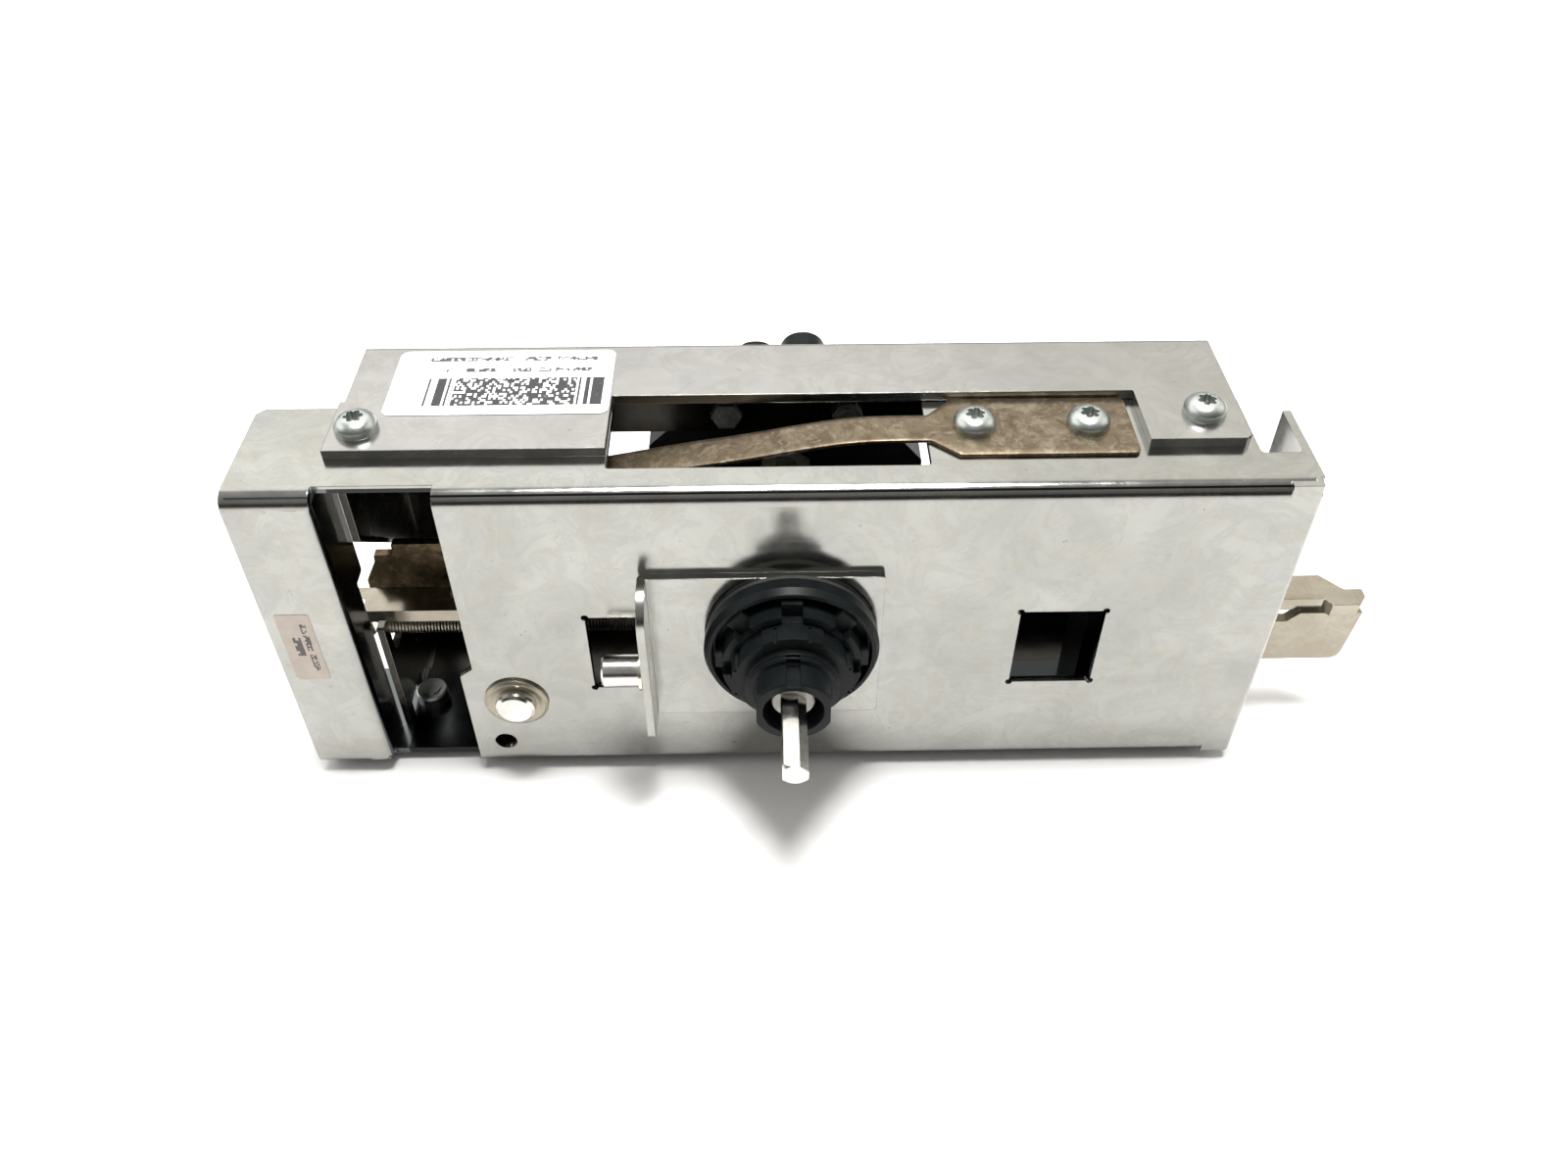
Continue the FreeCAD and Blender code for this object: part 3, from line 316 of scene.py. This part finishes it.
def label_material():
    """White printed label: a generic block code with bars at both ends and two faint rows of ticks."""
    m = Mat("label_print")
    s = m.sep()
    x, y = s[0], s[1]
    o = P(40.5, 31.0, 0)
    e = P(83.5, 42.6, 0)
    w = e.x - o.x
    inner0, inner1 = o.x + w * 0.155, o.x + w * 0.845
    body = m.math("MULTIPLY", inside(m, x, inner0, inner1), inside(m, y, o.y, e.y))
    code = m.math("MULTIPLY", body, random_cells(m, cell(m, x, o.x, 0.00060), cell(m, y, o.y, 0.00085), 0.34, 3.0))
    bars = m.math("MULTIPLY", inside(m, x, o.x, e.x), inside(m, y, o.y, e.y))
    bars = m.math("MULTIPLY", bars, m.math("SUBTRACT", 1.0, inside(m, x, inner0 - 0.0004, inner1 + 0.0004)))
    bars = m.math("MULTIPLY", bars, random_cells(m, cell(m, x, o.x, 0.00055), m.math("MULTIPLY", x, 0.0), 0.42, 9.0))
    ticks = None
    for y0, y1, xa, xb, seed in ((45.2, 46.9, 44.0, 56.5, 5.0), (45.2, 46.9, 60.5, 80.5, 6.0), (50.0, 51.8, 39.0, 81.0, 7.0)):
        a, b = P(xa, y0, 0), P(xb, y1, 0)
        r = m.math("MULTIPLY", inside(m, x, a.x, b.x), inside(m, y, a.y, b.y))
        r = m.math("MULTIPLY", r, random_cells(m, cell(m, x, a.x, 0.00050), cell(m, y, a.y, 0.00062), 0.36, seed))
        # spaces between groups
        r = m.math("MULTIPLY", r, random_cells(m, cell(m, x, a.x, 0.0016), m.math("MULTIPLY", y, 0.0), 0.16, seed + 4))
        ticks = r if ticks is None else m.math("ADD", ticks, r, clamp=True)
    ink = m.math("ADD", m.math("ADD", code, bars, clamp=True), m.math("MULTIPLY", ticks, 0.97), clamp=True)
    wear = m.ramp(m.noise(900, 4, 0.7), [(0.22, 0.70), (0.38, 1.0)])
    ink = m.math("MULTIPLY", ink, wear)
    paper = m.mix(m.ramp(m.noise(60, 4, 0.6), [(0.35, 0.0), (0.7, 1.0)]), (0.90, 0.90, 0.89), (0.83, 0.83, 0.82))
    soil = m.ramp(m.noise(420, 5, 0.7), [(0.66, 0.0), (0.78, 1.0)])
    paper = m.mix(m.math("MULTIPLY", soil, 0.25), paper, (0.55, 0.53, 0.50))
    m.set(color=m.mix(ink, paper, (0.012, 0.012, 0.014)), rough=m.ramp(m.noise(200, 3), [(0.3, 0.42), (0.7, 0.55)]),
          normal=m.bump(m.noise(700, 3), 0.15, 0.00002, 0))
    m.b.inputs["Coat Weight"].default_value = 0.15
    m.b.inputs["Coat Roughness"].default_value = 0.3
    return m.m


def strip_material():
    """Aged beige strip with two generic columns of printed ticks."""
    m = Mat("strip_print")
    lo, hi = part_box("strip_label")
    s = m.sep()
    x, z = s[0], s[2]
    W, D = hi.x - lo.x, hi.z - lo.z
    big = m.math("MULTIPLY", inside(m, x, lo.x + W * 0.30, lo.x + W * 0.54), inside(m, z, lo.z + D * 0.38, lo.z + D * 0.66))
    big = m.math("MULTIPLY", big, random_cells(m, cell(m, x, lo.x, 0.00080), cell(m, z, lo.z, 0.00095), 0.34, 12.0))
    small = m.math("MULTIPLY", inside(m, x, lo.x + W * 0.64, lo.x + W * 0.82), inside(m, z, lo.z + D * 0.14, lo.z + D * 0.86))
    small = m.math("MULTIPLY", small, random_cells(m, cell(m, x, lo.x, 0.00048), cell(m, z, lo.z, 0.00055), 0.32, 14.0))
    small = m.math("MULTIPLY", small, random_cells(m, m.math("MULTIPLY", x, 0.0), cell(m, z, lo.z, 0.0013), 0.12, 15.0))
    ink = m.math("ADD", big, small, clamp=True)
    paper = m.mix(m.ramp(m.noise(170, 5, 0.7), [(0.35, 0.0), (0.7, 1.0)]), (0.50, 0.435, 0.385), (0.42, 0.355, 0.30))
    edge = m.ramp(m.noise(500, 4, 0.7), [(0.6, 0.0), (0.8, 1.0)])
    paper = m.mix(m.math("MULTIPLY", edge, 0.4), paper, (0.38, 0.32, 0.27))
    m.set(color=m.mix(m.math("MULTIPLY", ink, 0.9), paper, (0.03, 0.03, 0.035)), rough=m.ramp(m.noise(300, 3), [(0.3, 0.45), (0.7, 0.6)]),
          normal=m.bump(m.noise(900, 3), 0.2, 0.00002, 0))
    return m.m


MATS = {
    # the last near-black colour of bright_plate and satin_plate is painted shade for their faces inside the box
    "bright_plate": plated("bright_plate_finish", (0.345, 0.347, 0.325), (0.275, 0.278, 0.262), (0.30, 0.275, 0.220), 0.10, 0.24,
                           spot=0.35, wave=0.000022, grain=(0.05, 1, 1), interior_shade=(0.026, 0.028, 0.029)),
    "satin_plate": plated("satin_plate_finish", (0.375, 0.372, 0.355), (0.31, 0.307, 0.295), (0.31, 0.295, 0.26), 0.15, 0.30,
                          spot=0.3, wave=0.000016, grain=(0.05, 1, 1), interior_shade=(0.030, 0.028, 0.024)),
    "nickel_plate": plated("nickel_plate_finish", (0.36, 0.335, 0.28), (0.25, 0.23, 0.185), (0.28, 0.22, 0.145), 0.14, 0.28,
                           spot=0.5, wave=0.00002, grain=(0.08, 1, 1), streak=0.15),
    "plated_steel": turned("plated_steel_finish", (0.62, 0.61, 0.58), (0.48, 0.47, 0.44), 0.12, 0.24),
    "zinc_screw": turned("zinc_screw_finish", (0.50, 0.53, 0.50), (0.36, 0.39, 0.37), 0.26, 0.40, tint=(0.42, 0.48, 0.44)),
    "collar_brass": turned("collar_finish", (0.78, 0.72, 0.58), (0.62, 0.55, 0.40), 0.15, 0.3, tint=(0.7, 0.6, 0.4)),
    "spring_steel": patina("spring_steel_finish", (0.150, 0.118, 0.078), (0.235, 0.20, 0.145), (0.088, 0.066, 0.042), 0.30, 0.46),
    "lever_steel": patina("lever_steel_finish", (0.12, 0.088, 0.046), (0.20, 0.155, 0.095), (0.055, 0.038, 0.02), 0.32, 0.50),
    "dark_steel": turned("dark_steel_finish", (0.07, 0.07, 0.075), (0.035, 0.035, 0.04), 0.25, 0.4, tint=(0.09, 0.08, 0.07)),
    "wire_steel": turned("wire_steel_finish", (0.34, 0.31, 0.27), (0.20, 0.18, 0.15), 0.25, 0.38, bevel=0, tint=(0.3, 0.25, 0.19)),
    "gasket_rubber": rubber("gasket_rubber_finish", (0.015, 0.015, 0.013)),
    "black_plastic": moulded("black_plastic_finish", (0.0030, 0.0042, 0.0046), (0.0060, 0.0076, 0.0080), 0.30, 0.44, spec=0.11),
    "white_nylon": nylon("white_nylon_finish", (0.60, 0.59, 0.54)),
    "label_white": label_material(),
    "label_beige": strip_material(),
}
SLOT_OF = {s["node"]: s["material_slot"] for s in frame["record"]["subparts"]}


def paint(o, slot):
    o.data.materials.clear()
    o.data.materials.append(MATS[slot])


for name, o in NODES.items():
    paint(o, SLOT_OF[name])
MATS["pale_washer"] = plated("pale_washer_finish", (0.36, 0.335, 0.275), (0.28, 0.255, 0.20), (0.25, 0.20, 0.13), 0.34, 0.48,
                             spot=0.5, wave=0.00001, grain=(1, 1, 1))
paint(NODES["pivot_washer"], "pale_washer")


# ---------------------------------------------------------------- new pieces
def new_mesh(name, verts, faces, slot, body, smooth=True):
    me = bpy.data.meshes.new(name)
    me.from_pydata([tuple(v) for v in verts], [], faces)
    me.validate()
    o = bpy.data.objects.new(name, me)
    bpy.context.scene.collection.objects.link(o)
    bm = bmesh.new()
    bm.from_mesh(me)
    bmesh.ops.recalc_face_normals(bm, faces=bm.faces)
    bm.to_mesh(me)
    bm.free()
    if smooth:
        for p in me.polygons:
            p.use_smooth = True
    paint(o, slot)
    return o


def tube(points, r, sides=8):
    """Closed tube along points, with rotation-minimising frames and capped ends."""
    pts = [Vector(p) for p in points]
    tans = []
    for i in range(len(pts)):
        a, b = pts[max(i - 1, 0)], pts[min(i + 1, len(pts) - 1)]
        tans.append((b - a).normalized())
    up = Vector((0, 0, 1)) if abs(tans[0].z) < 0.9 else Vector((1, 0, 0))
    u = tans[0].cross(up).normalized()
    verts, faces = [], []
    for i, (p, t) in enumerate(zip(pts, tans)):
        u = (u - t * u.dot(t)).normalized()
        w = t.cross(u)
        for k in range(sides):
            a = 2 * math.pi * k / sides
            verts.append(p + u * (r * math.cos(a)) + w * (r * math.sin(a)))
        if i:
            for k in range(sides):
                a0, a1 = (i - 1) * sides + k, (i - 1) * sides + (k + 1) % sides
                faces.append((a0, a1, a1 + sides, a0 + sides))
    n = len(verts)
    verts += [pts[0] - tans[0] * r * 0.3, pts[-1] + tans[-1] * r * 0.3]
    for k in range(sides):
        faces.append((k, n, (k + 1) % sides))
        faces.append((n - sides + k, n - sides + (k + 1) % sides, n + 1))
    return verts, faces


# extension spring: close-wound wire with a round hook at each end
lo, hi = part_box("extension_spring")
SPR_Y, SPR_Z, SPR_R = P(0, 23.6, 0).y, P(0, 0, 29.6).z, 0.0031
POST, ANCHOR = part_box("spring_post"), P(112.0, 0, 0).x
post_x = (POST[0].x + POST[1].x) / 2
WIRE = 0.00042
c0, c1 = post_x + 0.0046, ANCHOR - 0.0052
pts = []
# left hook: an open loop lying flat round the post
loop_r = 0.0021
for i in range(17):
    a = math.radians(-150 + i * 290 / 16.0)
    pts.append(Vector((post_x - 0.0001 - loop_r * math.cos(a), SPR_Y + loop_r * math.sin(a), SPR_Z)))
pts.append(Vector((c0 - 0.0012, SPR_Y - 0.0004, SPR_Z + 0.0004)))
rad = SPR_R - WIRE
pitch = WIRE * 2.06
turns = int((c1 - c0) / pitch)
pitch = (c1 - c0) / turns
seg = 16
for i in range(turns * seg + 1):
    a = 2 * math.pi * i / seg
    f = min(1.0, 0.45 + i / (seg * 0.9), 0.45 + (turns * seg - i) / (seg * 0.9))
    pts.append(Vector((c0 + pitch * i / seg, SPR_Y + rad * f * math.sin(a), SPR_Z + rad * f * math.cos(a))))
pts.append(Vector((c1 + 0.0012, SPR_Y + 0.0004, SPR_Z + 0.0004)))
for i in range(17):
    a = math.radians(150 - i * 290 / 16.0)
    pts.append(Vector((ANCHOR + 0.0001 + (loop_r + 0.0003) * math.cos(a), SPR_Y + (loop_r + 0.0003) * math.sin(a), SPR_Z)))
v, f = tube(pts, WIRE, 6)
coil = new_mesh("spring_coil", v, f, "wire_steel", "frame")
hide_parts("extension_spring")
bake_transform(coil)

# leaf spring: one rolled strip, wide at its screws, narrow and falling towards the lever
drops = [(161.6, 0.0), (150.0, 0.05), (141.0, 0.7), (129.0, 2.7), (119.0, 4.7), (104.0, 7.2), (88.0, 10.3), (70.0, 13.8), (50.0, 17.8)]


def drop(x):
    """Height lost at x, smoothly through the table."""
    if x >= drops[0][0]:
        return 0.0
    for i in range(len(drops) - 1):
        (xa, da), (xb, db) = drops[i], drops[i + 1]
        if xb <= x <= xa:
            t = (xa - x) / (xa - xb)
            pa = drops[max(i - 1, 0)]
            pb = drops[min(i + 2, len(drops) - 1)]
            ma = (db - pa[1]) / (pa[0] - xb) * (xa - xb) if pa[0] != xb and i > 0 else 0.0
            mb = (pb[1] - da) / (xa - pb[0]) * (xa - xb) if pb[0] != xa else (db - da)
            t2, t3 = t * t, t * t * t
            return (2 * t3 - 3 * t2 + 1) * da + (t3 - 2 * t2 + t) * ma + (-2 * t3 + 3 * t2) * db + (t3 - t2) * mb
    return drops[-1][1]


def leaf_half(x):
    """Front and back edge of the strip at x."""
    if x >= 168.0:
        r = 1.6
        d = min(r, max(0.0, 210.0 - x))
        k = r - math.sqrt(max(0.0, r * r - (r - d) ** 2))
        return 12.0 + k, 34.0 - k
    if x >= 161.6:
        t = (x - 161.6) / 6.4
        return 17.6 - 5.6 * t, 27.6 + 6.4 * t
    if x < 51.5:
        k = 1.5 - math.sqrt(max(0.0, 1.5 ** 2 - (51.5 - x) ** 2))
        return 17.6 + k, 27.6 - k
    return 17.6, 27.6


xs = [50.0 + 0.15 * i for i in range(11)] + [51.6 + 1.0 * i for i in range(110)] + [161.6 + 0.8 * i for i in range(9)]
xs += [168.4 + 1.3 * i for i in range(31)] + [208.6 + 0.17 * i for i in range(9)]
xs = sorted(set(round(min(x, 210.0), 3) for x in xs))
TH = 0.9
H = 92.4
rows = 8
edge_r = 0.16
verts, faces = [], []
ring = []
for x in xs:
    a, b = leaf_half(x)
    z0 = H - drop(x)
    sec = []
    for j in range(rows + 1):
        t = j / rows
        sec.append((a + edge_r + (b - a - 2 * edge_r) * t, z0 + TH))
    sec.append((b - 0.03, z0 + TH - edge_r * 0.6))
    sec.append((b, z0 + TH * 0.5))
    sec.append((b - 0.03, z0 + edge_r * 0.6))
    for j in range(rows + 1):
        t = 1 - j / rows
        sec.append((a + edge_r + (b - a - 2 * edge_r) * t, z0))
    sec.append((a + 0.03, z0 + edge_r * 0.6))
    sec.append((a, z0 + TH * 0.5))
    sec.append((a + 0.03, z0 + TH - edge_r * 0.6))
    ring.append([len(verts) + k for k in range(len(sec))])
    verts += [P(x, y, z) for y, z in sec]
n = len(ring[0])
for i in range(len(ring) - 1):
    for k in range(n):
        faces.append((ring[i][k], ring[i][(k + 1) % n], ring[i + 1][(k + 1) % n], ring[i + 1][k]))
faces.append(tuple(reversed(ring[0])))
faces.append(tuple(ring[-1]))
leaf = new_mesh("leaf_spring_strip", verts, faces, "spring_steel", "frame")
md = leaf.modifiers.new("edges", "EDGE_SPLIT")
md.split_angle = math.radians(50)
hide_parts("leaf_spring")
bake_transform(leaf)


# thread on the coupling's neck
def thread(name, cx, cz, y0, y1, r, pitch, depth, slot, body):
    pts, n = [], 64
    turns = (y1 - y0) / pitch
    for i in range(int(turns * n) + 1):
        a = 2 * math.pi * i / n
        y = y0 + pitch * i / n
        fade = min(1.0, i / (n * 0.25), (turns * n - i) / (n * 0.25))
        rr = r - depth + depth * fade
        pts.append(P(cx + rr * math.cos(a), y, cz + rr * math.sin(a)))
    v, f = tube(pts, 0.00034, 6)
    o = new_mesh(name, v, f, slot, body)
    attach(o, body)
    return o


thread("neck_thread", 128.6, 48.0, -19.75, -17.15, 10.98, 1.25, 0.3, "black_plastic", "frame")

# ------------------------------------------------------------ floor and light
bm = bmesh.new()
bmesh.ops.create_grid(bm, x_segments=40, y_segments=40, size=3.0)
for vtx in bm.verts:
    d = vtx.co.y - 1.2
    if d > 0:
        vtx.co.z += d * d * 0.5
fm = bpy.data.meshes.new("floor")
bm.to_mesh(fm)
bm.free()
for p in fm.polygons:
    p.use_smooth = True
floor = bpy.data.objects.new("floor", fm)
bpy.context.scene.collection.objects.link(floor)
floor.location.z = LO0.z - 0.0002
mf = Mat("floor_paper")
mf.set(color=mf.mix(mf.noise(3, 3, 0.5), (0.90, 0.885, 0.875), (0.93, 0.92, 0.915)), rough=0.75)
fm.materials.append(mf.m)

w = bpy.data.worlds.new("studio")
bpy.context.scene.world = w
w.use_nodes = True
wt = w.node_tree
wt.nodes.clear()
wo = wt.nodes.new("ShaderNodeOutputWorld")
bg = wt.nodes.new("ShaderNodeBackground")
wt.links.new(bg.outputs[0], wo.inputs[0])
tc = wt.nodes.new("ShaderNodeTexCoord")
sp = wt.nodes.new("ShaderNodeSeparateXYZ")
wt.links.new(tc.outputs["Generated"], sp.inputs[0])


def wmath(op, a, b=0.0):
    nd = wt.nodes.new("ShaderNodeMath")
    nd.operation = op
    for s, v in zip(nd.inputs, (a, b)):
        if isinstance(v, bpy.types.NodeSocket):
            wt.links.new(v, s)
        else:
            s.default_value = v
    return nd.outputs[0]


def wramp(fac, stops):
    nd = wt.nodes.new("ShaderNodeValToRGB")
    el = nd.color_ramp.elements
    while len(el) < len(stops):
        el.new(0.5)
    for e, (p, c) in zip(el, stops):
        e.position = p
        e.color = (*c, 1)
    wt.links.new(fac, nd.inputs[0])
    return nd.outputs[0]


# angle above the horizon, 0 in front, 90 overhead, 180 behind
ang = wmath("DIVIDE", wmath("ARCTAN2", sp.outputs[2], wmath("MULTIPLY", sp.outputs[1], -1.0)), math.pi)
sky = wramp(ang, [(0.0, (0.16, 0.15, 0.14)), (0.03, (0.050, 0.040, 0.034)), (0.10, (0.055, 0.046, 0.040)), (0.17, (0.34, 0.335, 0.33)), (0.35, (0.42, 0.415, 0.41)),
                  (0.60, (0.50, 0.50, 0.50)), (0.68, (2.10, 2.08, 2.04)), (0.80, (2.25, 2.22, 2.16)), (0.90, (0.55, 0.55, 0.56)),
                  (1.0, (0.40, 0.40, 0.41))])
side = wramp(wmath("ADD", wmath("MULTIPLY", sp.outputs[0], 0.5), 0.5),
             [(0.30, (1.06, 1.06, 1.05)), (0.50, (1.0, 1.0, 1.0)), (0.62, (0.86, 0.85, 0.83)), (0.75, (0.68, 0.67, 0.63))])
mul = wt.nodes.new("ShaderNodeMix")
mul.data_type = "RGBA"
mul.blend_type = "MULTIPLY"
mul.inputs[0].default_value = 1.0
wt.links.new(sky, mul.inputs[6])
wt.links.new(side, mul.inputs[7])
wt.links.new(mul.outputs[2], bg.inputs[0])
bg.inputs[1].default_value = 1.0


def area(name, loc, target, sx, sy, power, color=(1, 1, 1)):
    ld = bpy.data.lights.new(name, "AREA")
    ld.shape = "RECTANGLE"
    ld.size, ld.size_y = sx, sy
    ld.energy = power
    ld.color = color
    o = bpy.data.objects.new(name, ld)
    bpy.context.scene.collection.objects.link(o)
    o.location = loc
    o.rotation_mode = "QUATERNION"
    o.rotation_quaternion = (Vector(target) - Vector(loc)).to_track_quat("-Z", "Y")
    return o


area("top_box", (0.02, 0.02, 1.30), (0.0, 0.0, 0.0), 0.40, 0.40, 29, (1.0, 0.995, 0.985))
area("left_box", (-1.3, -0.1, 0.9), (0.0, 0.0, 0.05), 0.9, 0.9, 4, (1.0, 0.99, 0.98))
area("right_box", (1.3, 0.1, 0.9), (0.0, 0.0, 0.05), 0.9, 0.9, 3, (0.98, 0.99, 1.0))

# --------------------------------------------------------------------- camera
cam = bpy.data.cameras.new("camera")
cam.sensor_width = 36.0
cam.lens = 28.836
cam.clip_start, cam.clip_end = 0.02, 20
co = bpy.data.objects.new("camera", cam)
bpy.context.scene.collection.objects.link(co)
right = Vector((0.9998219676, -0.0188678632, -0.0001918145))
up = Vector((0.0131699990, 0.6905359733, 0.7231781390))
back = Vector((-0.0135123713, -0.7230519160, 0.6906615253))
mw = Matrix((right, up, back)).transposed().to_4x4()
mw.translation = P(122.77478, -218.10199, 271.23662)
co.matrix_world = mw
bpy.context.scene.camera = co

sc = bpy.context.scene
sc.view_settings.view_transform = "Standard"
sc.view_settings.look = "None"
sc.view_settings.exposure = 0.0
sc.view_settings.gamma = 1.0
